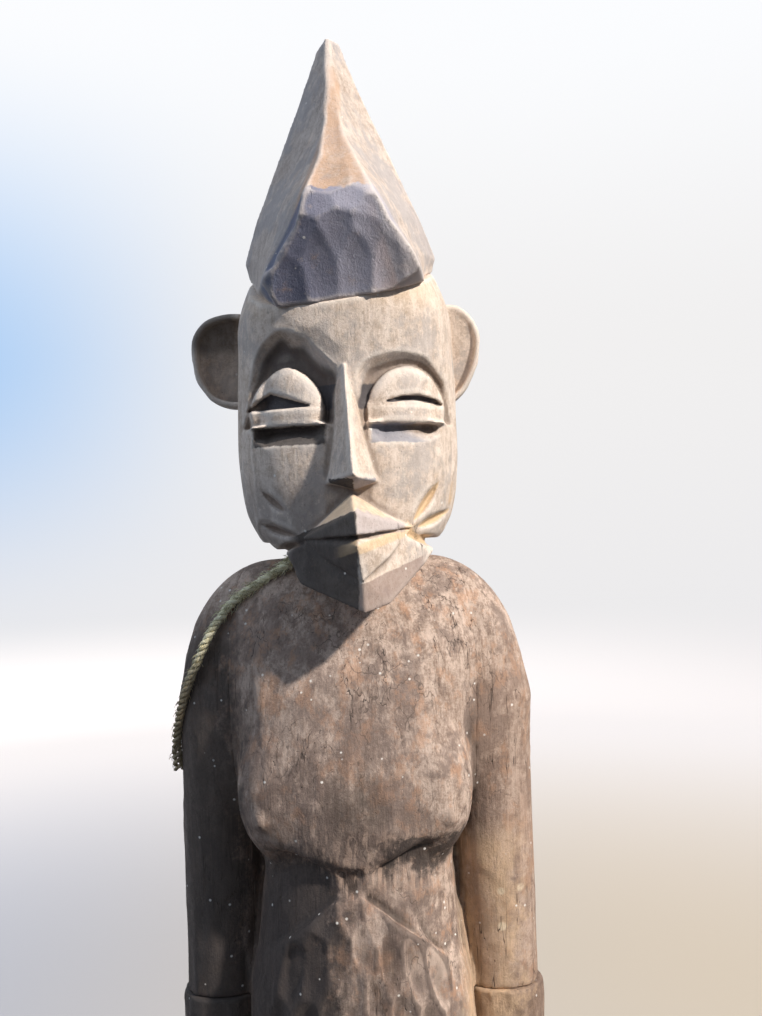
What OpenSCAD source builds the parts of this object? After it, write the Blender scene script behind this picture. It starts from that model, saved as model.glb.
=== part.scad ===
// Carved wooden fertility doll: a standing figure with a tall pointed crest,
// pegged together from separately carved members, with a fibre cord at its neck.
// The figure faces -Y, its own left is +X, and it stands on z = 0.

/* [Heights] */
// Thickness of the round base
base_h = 14; // [12:1:18]
// Legs, from the base to the hip joint
leg_h = 98; // [94:1:102]
// Torso, from the hip joint to the top of the shoulders
torso_h = 172; // [168:1:176]
// Head, from the shoulders to the parting under the crest
head_h = 94; // [92:1:96]
// Crest above the parting
crest_h = 78; // [60:1:90]

/* [Body] */
// Diameter of the base
base_d = 128; // [127:1:140]
// Width over the shoulders
shoulder_w = 115; // [112:1:118]
// Thickness of an arm at the wrist
wrist_d = 24; // [22:1:25]
// Outer diameter of a wrist cuff
cuff_d = 28; // [27:1:30]
// Height of a wrist cuff
cuff_h = 16; // [12:1:20]
// Distance from the middle of the figure to the middle of a leg
leg_x = 20.5; // [20:0.5:22]

/* [Head] */
// Width of the head
head_w = 70; // [66:1:72]
// Depth of the head without the chin
head_depth = 72; // [68:1:76]
// Height of an ear
ear_h = 29; // [24:1:32]
// How far the right ear and the left ear stand out
ear_reach = [13.5, 10]; // [8:0.5:15]

/* [Joinery] */
// Diameter of the neck dowel
neck_dowel_d = 12; // [8:1:14]
// Diameter of the shoulder, hip and foot dowels
limb_dowel_d = 8; // [5:1:9]
// Diameter of the crest dowels
crest_dowel_d = 6; // [4:1:7]
// Glue gap round each dowel
glue_gap = 0.1; // [0.05:0.05:0.2]

/* [Cord] */
// Thickness of the twisted fibre cord
cord_d = 3; // [2:0.5:3]

/* [Hidden] */

RIGHT = -1;
LEFT = 1;
hip_z = base_h + leg_h;
shoulder_z = hip_z + torso_h;
neck_top = shoulder_z + 6;
parting_z = shoulder_z + head_h;
top_z = parting_z + crest_h;
far = 200;          // reach of the cutting blocks

// Shoulders: one egg shape on each side of the neck
egg_x = 25;
egg_y = 2;
egg_z = shoulder_z - 45;
egg = [shoulder_w / 2 - egg_x, 18, 45];

// Wrist, cuff and hand
wrist_x = 47;
wrist_y = 6;
cuff_z = hip_z + 13;
wrist_z = cuff_z + cuff_h;
tenon_d = 14;
tenon_depth = 16;

// The joint between torso and arm is one upright plane, turned so that the chest is
// wider in front than behind
seam_x = 35;
seam_turn = 19;

// Neck
neck_d = 34;
neck_y = 3;

// The underside of the crest straddles the skull like a gable
gable_drop = 22;    // slope of the parting, in degrees
crest_dowel_y = [-13, 13];

dowel_z = shoulder_z - 42;
ear_z = parting_z - 28;
ear_y = 4;
ear_thick = 12;

// Rings of the crest: height above the parting, front y, back y, half-width in
// front, half-width in the middle. The front overhangs the forehead like a beak.
CREST = [
    [-18, -38.5, 38, 22, 32],
    [2, -41, 36, 20, 31.3],
    [14, -48, 31, 12.5, 27],
    [33, -31, 22, 5.5, 19.9],
    [50, -18, 15, 3, 13.2],
    [crest_h, -6, 5, 1.2, 2.8]
];

// Neck cord: a loop round the neck, tied at the figure's right, whose end runs over
// the right shoulder and down the arm
loop_r = neck_d / 2 + cord_d / 2 + 0.3;
loop_z = shoulder_z + 1.8;
TAIL = [[-15.5, -12.5, 286.5], [-19.5, -10.5, 283.5], [-23.5, -9, 280.5], [-28.5, -9.5, 277.5],
    [-34, -10.5, 274], [-38, -10.5, 271], [-41.5, -11, 267], [-44.5, -11, 263], [-47.5, -11, 257.5],
    [-50, -10.5, 252], [-53, -9, 246], [-55, -7.5, 240.5], [-57, -5.5, 234.5], [-58.5, -3, 229],
    [-59.5, 0, 222], [-59.5, 2, 215]];

// ---------- shared shapes ----------

module egg_at(x, y, z, radii) translate([x, y, z]) scale(radii) sphere(r = 1, $fn = 32);

module on_side(side) mirror([side == RIGHT ? 1 : 0, 0, 0]) children();

module both_sides() for (side = [RIGHT, LEFT]) on_side(side) children();

module above(z) translate([-far, -far, z]) cube([2 * far, 2 * far, 2 * far]);

module below(z) translate([-far, -far, z - 2 * far]) cube([2 * far, 2 * far, 2 * far]);

module peg(from, along, d, length)
    translate(from) rotate(along) cylinder(d = d, h = length, $fn = 48);

// Everything on the arm's side of the seam
module arm_side()
    translate([seam_x, 0, 0]) rotate([0, 0, seam_turn])
        translate([0, -far, -far]) cube([2 * far, 2 * far, 4 * far]);

// Everything over the parting with over = 1, and everything under it with over = -1
module parted(over) {
    drop = far * tan(gable_drop);
    translate([-far, 0, parting_z]) rotate([90, 0, 90])
        linear_extrude(2 * far)
            polygon([[-far, -drop], [0, 0], [far, -drop], [far, over * 2 * far], [-far, over * 2 * far]]);
}

// ---------- dowels ----------

module neck_pin(d) peg([0, neck_y, neck_top - 26], [0, 0, 0], d, 50);
module shoulder_pin(d) peg([20, egg_y, dowel_z], [0, 90, 0], d, 30);
module hip_pin(d) peg([leg_x, 0, hip_z - 18], [0, 0, 0], d, 36);
module foot_pin(d) peg([leg_x, 4, base_h - 9], [0, 0, 0], d, 24);
module crest_pins(d) for (y = crest_dowel_y) peg([0, y, parting_z - 20], [0, 0, 0], d, 34);

module neck_dowel() color("burlywood") neck_pin(neck_dowel_d);
module shoulder_dowels() color("burlywood") both_sides() shoulder_pin(limb_dowel_d);
module hip_dowels() color("burlywood") both_sides() hip_pin(limb_dowel_d);
module foot_dowels() color("burlywood") both_sides() foot_pin(limb_dowel_d);
module crest_dowels() color("burlywood") crest_pins(crest_dowel_d);

function bore(d) = d + 2 * glue_gap;

// ---------- lower body ----------

module base() color("#5b4a3e") difference() {
    rotate_extrude($fn = 96)
        polygon([[0, 0], [base_d / 2 - 1.5, 0], [base_d / 2, 1.5], [base_d / 2 - 1, base_h - 3],
            [base_d / 2 - 4, base_h], [0, base_h]]);
    both_sides() foot_pin(bore(limb_dowel_d));
}

module knee() egg_at(leg_x, -9, base_h + 0.5 * leg_h, [14.5, 15, 15]);

module leg() difference() {
    union() {
        hull() {
            egg_at(leg_x - 2, -1, hip_z - 8, [17, 21, 22]);
            knee();
        }
        hull() {
            knee();
            egg_at(leg_x, 5, base_h + 30, [13, 14, 16]);
            egg_at(leg_x, 5, base_h + 6, [10, 11, 14]);
        }
        hull() {
            egg_at(leg_x, 8, base_h + 2, [11, 12, 9]);
            egg_at(leg_x + 2, -28, base_h + 1, [13, 11, 8]);
        }
    }
    above(hip_z);
    below(base_h);
    translate([-far, -far, 0]) cube([far + 1.5, 2 * far, 2 * far]);
    hip_pin(bore(limb_dowel_d));
    foot_pin(bore(limb_dowel_d));
}
module right_leg() color("#4a3c33") on_side(RIGHT) leg();
module left_leg() color("#4a3c33") on_side(LEFT) leg();

// ---------- torso and arms ----------

module shoulder_egg() egg_at(egg_x, egg_y, egg_z, egg);
module chest_egg() egg_at(20, -13, shoulder_z - 74, [20, 20, 34]);
module waist_egg() egg_at(14, 0, shoulder_z - 108, [18, 20, 22]);
module hip_egg() egg_at(17, -1, hip_z + 14, [19, 25, 30]);

module torso() color("#6a5748") difference() {
    union() {
        hull() both_sides() {
            shoulder_egg();
            chest_egg();
        }
        hull() both_sides() {
            chest_egg();
            waist_egg();
        }
        hull() both_sides() {
            waist_egg();
            hip_egg();
        }
        translate([0, neck_y, shoulder_z - 20]) cylinder(d = neck_d, h = neck_top - shoulder_z + 20, $fn = 64);
    }
    below(hip_z);
    both_sides() {
        arm_side();
        translate([wrist_x, wrist_y, hip_z - 1]) cylinder(d = cuff_d + 0.6, h = wrist_z - hip_z + 1.3, $fn = 64);
        shoulder_pin(bore(limb_dowel_d));
        hip_pin(bore(limb_dowel_d));
    }
    neck_pin(bore(neck_dowel_d));
}

module arm() difference() {
    intersection() {
        hull() {
            shoulder_egg();
            translate([wrist_x, wrist_y, wrist_z]) cylinder(d = wrist_d, h = 8, $fn = 48);
        }
        arm_side();
        above(wrist_z);
    }
    shoulder_pin(bore(limb_dowel_d));
    peg([wrist_x, wrist_y, wrist_z - 1], [0, 0, 0], bore(tenon_d), tenon_depth + 1.2);
}
module right_arm() color("#57483d") on_side(RIGHT) arm();
module left_arm() color("#7a6758") on_side(LEFT) arm();

module cuff() translate([wrist_x, wrist_y, cuff_z]) difference() {
    rotate_extrude($fn = 72)
        polygon([[0, 0], [cuff_d / 2 - 1, 0], [cuff_d / 2, 1], [cuff_d / 2, cuff_h - 1],
            [cuff_d / 2 - 1, cuff_h], [0, cuff_h]]);
    translate([0, 0, -1]) cylinder(d = bore(tenon_d), h = cuff_h + 2, $fn = 48);
}
module right_cuff() color("#4f4035") on_side(RIGHT) cuff();
module left_cuff() color("#7d6a58") on_side(LEFT) cuff();

module hand() union() {
    difference() {
        hull() {
            translate([wrist_x, wrist_y, cuff_z - 5]) cylinder(d = 18, h = 5, $fn = 32);
            for (y = [-6, 6]) egg_at(wrist_x, wrist_y + y, cuff_z - 17, [6.5, 7, 9]);
            for (y = [-9, 3]) egg_at(wrist_x - 0.5, wrist_y + y, cuff_z - 31, [5, 5, 6]);
        }
        above(cuff_z);
    }
    peg([wrist_x, wrist_y, cuff_z - 8], [0, 0, 0], tenon_d, 8 + cuff_h + tenon_depth);
}
module right_hand() color("#4a3c33") on_side(RIGHT) hand();
module left_hand() color("#6d5a4b") on_side(LEFT) hand();

// ---------- head ----------

module skull() hull() both_sides() {
    egg_at(head_w / 2 - 13, 13 - head_depth / 2, shoulder_z + 66, [13, 13, 20]);
    egg_at(head_w / 2 - 13, 13 - head_depth / 2, shoulder_z + 26, [13, 13, 18]);
    egg_at(head_w / 2 - 17, head_depth / 2 - 17, shoulder_z + 62, [17, 17, 22]);
    egg_at(head_w / 2 - 18, head_depth / 2 - 20, shoulder_z + 24, [16, 16, 20]);
    egg_at(10, 0, parting_z - 12, [20, 26, 20]);
    egg_at(12, -22, shoulder_z + 11, [14, 12, 11]);
}

module jaw() hull() {
    egg_at(-12.5, -37, shoulder_z + 4, [3, 3, 3]);
    egg_at(17, -37, shoulder_z + 9, [3, 3, 3]);
    egg_at(1, -39, shoulder_z + 18, [4, 4, 3]);
    egg_at(4, -49.5, shoulder_z + 6, [5, 4, 6]);
    egg_at(4, -43, shoulder_z - 10, [4, 4, 5]);
    egg_at(-20, -21, shoulder_z + 5, [4, 3, 4]);
    egg_at(22, -21, shoulder_z + 7, [4, 3, 4]);
}

module nose() hull() {
    egg_at(0.5, -35, shoulder_z + 56, [3, 3, 4]);
    egg_at(0.5, -46, shoulder_z + 25, [3.5, 4, 3]);
    for (x = [-5, 6]) egg_at(x, -37, shoulder_z + 24, [2.5, 3, 2.5]);
}

module head() color("#b3a08e") difference() {
    union() {
        skull();
        jaw();
        nose();
    }
    parted(1);
    // clear of the neck, its cord and the shoulders
    translate([-far, -18, neck_top - 2 * far]) cube([2 * far, 2 * far, 2 * far]);
    neck_pin(bore(neck_dowel_d));
    crest_pins(bore(crest_dowel_d));
    both_sides() ear_tenon(bore(limb_dowel_d));
}

module ear_tenon(d) peg([head_w / 2 - 12, ear_y, ear_z], [0, 90, 0], d, 16);

module ear(reach) union() {
    difference() {
        translate([head_w / 2 + reach - ear_h / 2, ear_y + ear_thick / 2, ear_z]) rotate([90, 0, 0])
            difference() {
                cylinder(d = ear_h, h = ear_thick, $fn = 64);
                translate([0, 0, ear_thick - 5]) cylinder(d = ear_h - 8, h = 6, $fn = 64);
            }
        translate([head_w / 2 + 0.3 - 2 * far, -far, 0]) cube([2 * far, 2 * far, 4 * far]);
    }
    peg([head_w / 2 - 11, ear_y, ear_z], [0, 90, 0], limb_dowel_d, 11 + 5);
}
module right_ear() color("#8b8078") on_side(RIGHT) ear(ear_reach[0]);
module left_ear() color("#c9b9a5") on_side(LEFT) ear(ear_reach[1]);

// ---------- crest ----------

module crest_ring(level) {
    middle_y = (level[1] + level[2]) / 2;
    translate([0, 0, parting_z + level[0]]) linear_extrude(0.01)
        polygon([[-level[3], level[1]], [level[3], level[1]], [level[4], middle_y],
            [level[3], level[2]], [-level[3], level[2]], [-level[4], middle_y]]);
}

module crest() color("#8f8a8c") difference() {
    for (i = [0:len(CREST) - 2]) hull() {
        crest_ring(CREST[i]);
        crest_ring(CREST[i + 1]);
    }
    parted(-1);
    crest_pins(bore(crest_dowel_d));
}

// ---------- cord ----------

module neck_cord() color("#8a8455")
    translate([0, neck_y, loop_z]) rotate_extrude($fn = 64)
        translate([loop_r, 0]) circle(d = cord_d, $fn = 24);

function unit(v) = v / norm(v);
function heading(path, i) = unit(path[min(i + 1, len(path) - 1)] - path[max(i - 1, 0)]);
// A ring of points square to the heading
function ring(path, i, r, sides) =
    let (t = heading(path, i), u = unit(cross(t, [0, 0, 1])), v = cross(t, u))
    [for (k = [0:sides - 1]) path[i] + r * (cos(360 * k / sides) * u + sin(360 * k / sides) * v)];

module tube(path, d, sides) {
    n = len(path);
    points = [for (i = [0:n - 1]) each ring(path, i, d / 2, sides)];
    walls = [for (i = [0:n - 2], k = [0:sides - 1])
        let (a = i * sides + k, b = i * sides + (k + 1) % sides) [a, b, b + sides, a + sides]];
    ends = [[for (k = [sides - 1:-1:0]) k], [for (k = [0:sides - 1]) (n - 1) * sides + k]];
    polyhedron(points, concat(walls, ends));
}

module cord_tail() color("#8a8455") tube(TAIL, cord_d, 8);

// ---------- drawing ----------

base();
right_leg();
left_leg();
torso();
right_arm();
left_arm();
right_cuff();
left_cuff();
right_hand();
left_hand();
head();
right_ear();
left_ear();
crest();
neck_dowel();
shoulder_dowels();
hip_dowels();
foot_dowels();
crest_dowels();
neck_cord();
cord_tail();
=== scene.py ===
"""Carved wooden fertility doll: the carved surfaces, the fibre cord, materials and studio.

Every wooden member is carved out of a block of cells that hold a signed distance in
millimetres, then skinned with quads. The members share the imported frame's axes: the
figure faces -Y, its own left is +X and it stands on z = 0.
"""
import copy
import math

import bmesh
import bpy
import numpy as np
from mathutils import Matrix, Vector


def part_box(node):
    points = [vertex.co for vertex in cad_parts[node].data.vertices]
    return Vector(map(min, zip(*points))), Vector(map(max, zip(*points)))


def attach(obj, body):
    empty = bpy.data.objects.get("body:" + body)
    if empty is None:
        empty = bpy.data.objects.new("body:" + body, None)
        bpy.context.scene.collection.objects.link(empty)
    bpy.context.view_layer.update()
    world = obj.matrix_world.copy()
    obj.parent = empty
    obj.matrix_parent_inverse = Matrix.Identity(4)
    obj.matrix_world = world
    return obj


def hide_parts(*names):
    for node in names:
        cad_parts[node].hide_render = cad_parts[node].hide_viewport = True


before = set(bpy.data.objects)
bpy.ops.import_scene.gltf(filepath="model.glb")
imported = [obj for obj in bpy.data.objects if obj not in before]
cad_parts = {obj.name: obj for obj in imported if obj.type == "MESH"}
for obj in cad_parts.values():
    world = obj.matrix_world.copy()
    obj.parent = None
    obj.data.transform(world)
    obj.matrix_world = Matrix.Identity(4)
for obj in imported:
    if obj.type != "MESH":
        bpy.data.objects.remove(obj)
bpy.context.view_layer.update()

MM = 0.001
RIGHT, LEFT = -1, 1  # the figure's own sides, as signs of x
SIDES = {RIGHT: "right", LEFT: "left"}
rng = np.random.default_rng(7)


def top_of(node):
    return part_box(node)[1][2] / MM


def foot_of(node):
    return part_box(node)[0][2] / MM


BASE_TOP = top_of("base")
HIP = top_of("left_leg")
NECK_TOP = top_of("torso")
SHOULDER = NECK_TOP - 6
PARTING = SHOULDER + 94
WRIST = foot_of("left_arm")
CUFF_FOOT = foot_of("left_cuff")
HAND_FOOT = foot_of("left_hand")
WRIST_X = 47
LEG_X = 20.5


def add_object(name, data):
    made = bpy.data.objects.new(name, data)
    bpy.context.collection.objects.link(made)
    return made



# ---------------------------------------------------------------- camera

CAMERA = Vector((11, -378, 300)) * MM
CAMERA_ROLL = math.radians(1.83)
FOCAL_MM = 40.2


def add_camera():
    lens = bpy.data.cameras.new("camera")
    lens.lens = FOCAL_MM
    lens.sensor_width = 36
    lens.clip_start = 0.01
    camera = add_object("camera", lens)
    turn = Matrix.Rotation(math.pi / 2, 4, "X") @ Matrix.Rotation(-CAMERA_ROLL, 4, "Z")
    camera.matrix_world = Matrix.Translation(CAMERA) @ turn
    bpy.context.scene.camera = camera


add_camera()

# ---------------------------------------------------------------- clay: distance fields


class Clay:
    """A block of cells over a box in millimetres, with a distance and a tone at each point."""

    def __init__(self, low, high, cell):
        self.low = np.array(low, float)
        self.cell = cell
        self.count = np.ceil((np.array(high) - self.low) / cell).astype(int) + 1
        axes = [self.low[k] + cell * np.arange(self.count[k]) for k in range(3)]
        self.x = axes[0].astype(np.float32)[:, None, None]
        self.y = axes[1].astype(np.float32)[None, :, None]
        self.z = axes[2].astype(np.float32)[None, None, :]
        self.d = np.full(self.count, 50, np.float32)
        self.form = self.d
        self.tone = np.zeros(self.count, np.float32)

    def keep(self, shape):
        """Take a shape as it stands. Strokes then start from its surface."""
        self.d = np.broadcast_to(shape, self.count).astype(np.float32)
        self.form = self.d.copy()

    def trim(self, shape):
        """Take away everything outside a shape."""
        self.d = np.maximum(self.d, shape).astype(np.float32)

    def at(self, points):
        """Distance to the form before any stroke, read between the cells."""
        return read_grid(self.form, (np.asarray(points) - self.low) / self.cell)

    def slope(self, point):
        """Unit outward direction of the surface near a point."""
        h = 1.5 * self.cell
        steps = np.eye(3) * h
        rise = self.at(point + steps) - self.at(point - steps)
        return rise / (np.linalg.norm(rise) + 1e-9)

    def hit(self, start, direction, reach=120):
        """First point of the surface along a ray, or None."""
        direction = np.asarray(direction, float) / np.linalg.norm(direction)
        t = np.arange(0, reach, 0.4)
        line = np.asarray(start, float) + t[:, None] * direction
        inside = np.flatnonzero(self.at(line) < 0)
        return line[inside[0]] if len(inside) else None

    def gouge(self, point, along, radius, bite, half, tone, tilt=(0, 0, 0)):
        """One stroke of a round gouge across the surface at a point."""
        normal = self.slope(point) + np.asarray(tilt, float)
        normal /= np.linalg.norm(normal)
        along = np.asarray(along, float) - normal * np.dot(along, normal)
        along /= np.linalg.norm(along)
        centre = point + normal * (radius - bite)
        reach = half + 1.6 * math.sqrt(2 * radius * bite) + 2
        low = np.maximum(np.floor((point - reach - self.low) / self.cell).astype(int), 0)
        high = np.minimum(np.ceil((point + reach - self.low) / self.cell).astype(int), self.count)
        if np.any(high - low < 2):
            return
        i, j, k = (slice(low[n], high[n]) for n in range(3))
        x, y, z = self.x[i] - centre[0], self.y[:, j] - centre[1], self.z[:, :, k] - centre[2]
        off = self.x[i] - point[0], self.y[:, j] - point[1], self.z[:, :, k] - point[2]
        away = off[0] ** 2 + off[1] ** 2 + off[2] ** 2
        run = x * along[0] + y * along[1] + z * along[2]
        # the stroke rises out of the wood towards both ends
        lift = np.maximum(np.abs(run) - half * 0.35, 0) ** 2 / (half * 9)
        across = np.sqrt(np.maximum(x * x + y * y + z * z - run * run, 0))
        wood_here = self.d[i, j, k]
        form_here = self.form[i, j, k]
        # a stroke takes no more than its bite, even where it would reach a bump near by
        nearness = smooth_step(away / reach ** 2, 1, 0.6)
        most = form_here + 1.3 * bite * np.clip(1 - form_here / 2, 0, 1) * nearness
        carved = np.minimum(radius - across - lift, most)
        fresh = carved > wood_here
        wood_here[fresh] = carved[fresh]
        self.tone[i, j, k][fresh] = tone


def read_grid(grid, spots):
    """Trilinear reading of a grid at fractional indices."""
    top = np.array(grid.shape) - 1.001
    spots = np.clip(spots, 0, top)
    base = np.floor(spots).astype(int)
    part = spots - base
    total = 0
    for corner in np.ndindex(2, 2, 2):
        weight = np.prod(np.where(corner, part, 1 - part), axis=-1)
        i, j, k = (base[..., n] + corner[n] for n in range(3))
        total = total + weight * grid[i, j, k]
    return total


def soft_min(a, b, k):
    h = np.clip(0.5 + 0.5 * (b - a) / k, 0, 1)
    return b + (a - b) * h - k * h * (1 - h)


def soft_max(a, b, k):
    return -soft_min(-a, -b, k)


def egg(c, centre, radii):
    x, y, z = c.x - centre[0], c.y - centre[1], c.z - centre[2]
    k0 = np.sqrt((x / radii[0]) ** 2 + (y / radii[1]) ** 2 + (z / radii[2]) ** 2)
    k1 = np.sqrt((x / radii[0] ** 2) ** 2 + (y / radii[1] ** 2) ** 2 + (z / radii[2] ** 2) ** 2)
    return k0 * (k0 - 1) / np.maximum(k1, 1e-6)


def stick(c, a, b, ra, rb):
    """A rod from a to b, round-ended, whose radius goes from ra to rb."""
    a, b = np.array(a, float), np.array(b, float)
    run = b - a
    x, y, z = c.x - a[0], c.y - a[1], c.z - a[2]
    t = np.clip((x * run[0] + y * run[1] + z * run[2]) / np.dot(run, run), 0, 1)
    reach = np.sqrt((x - t * run[0]) ** 2 + (y - t * run[1]) ** 2 + (z - t * run[2]) ** 2)
    return reach - ra - t * (rb - ra)


def block(c, points, foot=0.0):
    """The convex solid over some points, bounded by flat planes. Heights count from the foot."""
    bm = bmesh.new()
    for x, y, z in points:
        bm.verts.new((x, y, foot + z))
    bmesh.ops.convex_hull(bm, input=bm.verts)
    bm.normal_update()
    planes = {}
    for face in bm.faces:
        normal = face.normal
        offset = normal.dot(face.verts[0].co)
        planes[tuple(round(v, 3) for v in (*normal, offset))] = (*normal, offset)
    bm.free()
    solid = None
    for nx, ny, nz, offset in planes.values():
        side = c.x * nx + c.y * ny + c.z * nz - offset
        solid = side if solid is None else np.maximum(solid, side)
    return solid


def curve(z, points):
    """A smooth curve through given points (z, value), with level ends."""
    zs, vs = (np.array(v, float) for v in zip(*sorted(points)))
    slopes = np.gradient(vs, zs)
    slopes[0] = slopes[-1] = 0
    n = np.clip(np.searchsorted(zs, z, side="right") - 1, 0, len(zs) - 2)
    h = zs[n + 1] - zs[n]
    t = np.clip((z - zs[n]) / h, 0, 1)
    a, b = vs[n], vs[n + 1]
    ma, mb = slopes[n] * h, slopes[n + 1] * h
    value = (2 * t ** 3 - 3 * t ** 2 + 1) * a + (t ** 3 - 2 * t ** 2 + t) * ma
    return (value + (3 * t ** 2 - 2 * t ** 3) * b + (t ** 3 - t ** 2) * mb).astype(np.float32)


def line(z, points):
    """Straight stretches between given points (z, value)."""
    zs, vs = zip(*sorted(points))
    return np.interp(z, zs, vs).astype(np.float32)


def loft(c, half, front, back, middle=0.0, front_power=3.2, back_power=2.4):
    """An upright solid whose plan is a squared oval. Sizes may change with height."""
    across = np.abs(c.x - middle) / half
    ahead = np.maximum(-c.y, 0) / np.maximum(-front, 1)
    behind = np.maximum(c.y, 0) / np.maximum(back, 1)
    near = (across ** front_power + ahead ** front_power) ** (1 / front_power)
    far = (across ** back_power + behind ** back_power) ** (1 / back_power)
    return (np.where(c.y < 0, near, far) - 1) * np.minimum(half, -front)


def outline(c, points):
    """Distance in the front view to a closed outline of (x, z) points, negative inside."""
    ends = np.array(points, float)
    x, z = c.x[:, 0], c.z[0]
    near = np.full((x.shape[0], z.shape[1]), 1e9)
    inside = np.zeros(near.shape, bool)
    for a, b in zip(ends, np.roll(ends, -1, 0)):
        run = b - a
        t = np.clip(((x - a[0]) * run[0] + (z - a[1]) * run[1]) / np.dot(run, run), 0, 1)
        near = np.minimum(near, np.hypot(x - a[0] - t * run[0], z - a[1] - t * run[1]))
        spans = (a[1] > z) != (b[1] > z)
        crossing = a[0] + (z - a[1]) * run[0] / (run[1] if run[1] else 1e-9)
        inside ^= spans & (x < crossing)
    return np.where(inside, -near, near)[:, None, :].astype(np.float32)


def rounded(points, gap=1.2):
    """A smooth closed outline through a few points."""
    loop = [*points, points[0]]
    return [tuple(p) for p in spread([(x, 0, z) for x, z in loop], gap)[:-1, [0, 2]]]


def smooth_step(value, low, high):
    t = np.clip((value - low) / (high - low), 0, 1)
    return t * t * (3 - 2 * t)


# ---------------------------------------------------------------- skin: cells to quads


def skin(c):
    """Vertices in millimetres and quads of the surface, by surface nets."""
    d = c.d.copy()
    for axis in range(3):
        for end in (0, -1):
            edge = tuple(end if n == axis else slice(None) for n in range(3))
            d[edge] = np.maximum(d[edge], 0.3)
    inside = d < 0
    cells = tuple(n - 1 for n in d.shape)

    def corner(grid, offset):
        return grid[tuple(slice(o, o + n) for o, n in zip(offset, cells))]

    count = sum(corner(inside, o).astype(np.int8) for o in np.ndindex(2, 2, 2))
    active = np.argwhere((count > 0) & (count < 8))
    total = np.zeros((len(active), 3))
    hits = np.zeros(len(active))
    for a in np.ndindex(2, 2, 2):
        for axis in range(3):
            if a[axis]:
                continue
            b = tuple(v + (n == axis) for n, v in enumerate(a))
            da = d[tuple((active + a).T)]
            db = d[tuple((active + b).T)]
            cross = (da < 0) != (db < 0)
            t = np.where(cross, da / np.where(cross, da - db, 1), 0)
            spot = np.array(a, float)[None] + t[:, None] * np.eye(3)[axis]
            total += np.where(cross[:, None], spot, 0)
            hits += cross
    verts = c.low + c.cell * (active + total / hits[:, None])
    number = np.full(cells, -1, np.int64)
    number[tuple(active.T)] = np.arange(len(active))
    quads = []
    for axis in range(3):
        u, v = [n for n in range(3) if n != axis]
        step = np.eye(3, dtype=int)
        trim = [slice(None)] * 3
        trim[u] = trim[v] = slice(1, -1)
        here = inside[tuple(slice(0, -1) if n == axis else s for n, s in enumerate(trim))]
        there = inside[tuple(slice(1, None) if n == axis else s for n, s in enumerate(trim))]
        for way, mask in ((1, here & ~there), (-1, ~here & there)):
            base = np.argwhere(mask)
            base[:, u] += 1
            base[:, v] += 1
            ring = [base, base - step[u], base - step[u] - step[v], base - step[v]]
            face = np.stack([number[tuple(p.T)] for p in ring], axis=1)
            flip = (way > 0) != (axis == 1)
            quads.append(face[:, ::-1] if not flip else face)
    return verts, np.concatenate(quads)


def box_blur(grid, cells):
    """Mean over a cube of cells, one axis at a time."""
    for axis in range(3):
        padded = np.concatenate([np.repeat(grid.take([0], axis), cells + 1, axis), grid,
                                 np.repeat(grid.take([-1], axis), cells, axis)], axis)
        sums = np.cumsum(padded, axis, dtype=np.float64)
        width = 2 * cells + 1
        n = grid.shape[axis]
        ends = [slice(None)] * 3
        starts = [slice(None)] * 3
        ends[axis] = slice(width, width + n)
        starts[axis] = slice(0, n)
        grid = ((sums[tuple(ends)] - sums[tuple(starts)]) / width).astype(np.float32)
    return grid


def wooden(name, c, replaces, material, whole=None):
    """Turn carved clay into a piece that stands for CAD nodes, with its wear maps.

    A piece parted from a larger form takes its wear from the whole form.
    """
    verts, quads = skin(c)
    mesh = bpy.data.meshes.new(name)
    mesh.vertices.add(len(verts))
    mesh.vertices.foreach_set("co", (verts * MM).astype(np.float32).ravel())
    mesh.loops.add(4 * len(quads))
    mesh.loops.foreach_set("vertex_index", quads.astype(np.int32).ravel())
    mesh.polygons.add(len(quads))
    mesh.polygons.foreach_set("loop_start", np.arange(0, 4 * len(quads), 4, dtype=np.int32))
    mesh.polygons.foreach_set("use_smooth", np.ones(len(quads), bool))
    mesh.update(calc_edges=True)
    mesh.validate()
    spots = (verts - c.low) / c.cell
    shape = np.clip(c.d if whole is None else whole, -6, 6)
    for label, reach in (("hollow", 2.4), ("broad", 6.0)):
        blurred = box_blur(shape, max(1, round(reach / c.cell)))
        add_map(mesh, label, read_grid(shape - blurred, spots) / reach)
    add_map(mesh, "tone", read_grid(c.tone, spots))
    mesh.materials.append(material)
    piece = add_object(name, mesh)
    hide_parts(*replaces)
    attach(piece, "root")


def add_map(mesh, label, values):
    layer = mesh.attributes.new(label, "FLOAT", "POINT")
    layer.data.foreach_set("value", np.asarray(values, np.float32))


def over(*nodes, spare=3.0, lift=0.0):
    """A box in millimetres round some CAD nodes."""
    lows = np.min([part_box(n)[0] for n in nodes], axis=0) / MM - spare
    highs = np.max([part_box(n)[1] for n in nodes], axis=0) / MM + spare
    highs[2] += lift
    return lows, highs


# ---------------------------------------------------------------- head and crest

HEAD_MIDDLE = 0.9
GABLE = math.tan(math.radians(22))


def parting(c):
    """Height of the joint under the crest: a gable, higher on the left in front."""
    ahead = np.clip(-c.y / 38, 0, 1)
    return PARTING - np.abs(c.y) * GABLE + 0.14 * c.x * ahead


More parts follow.
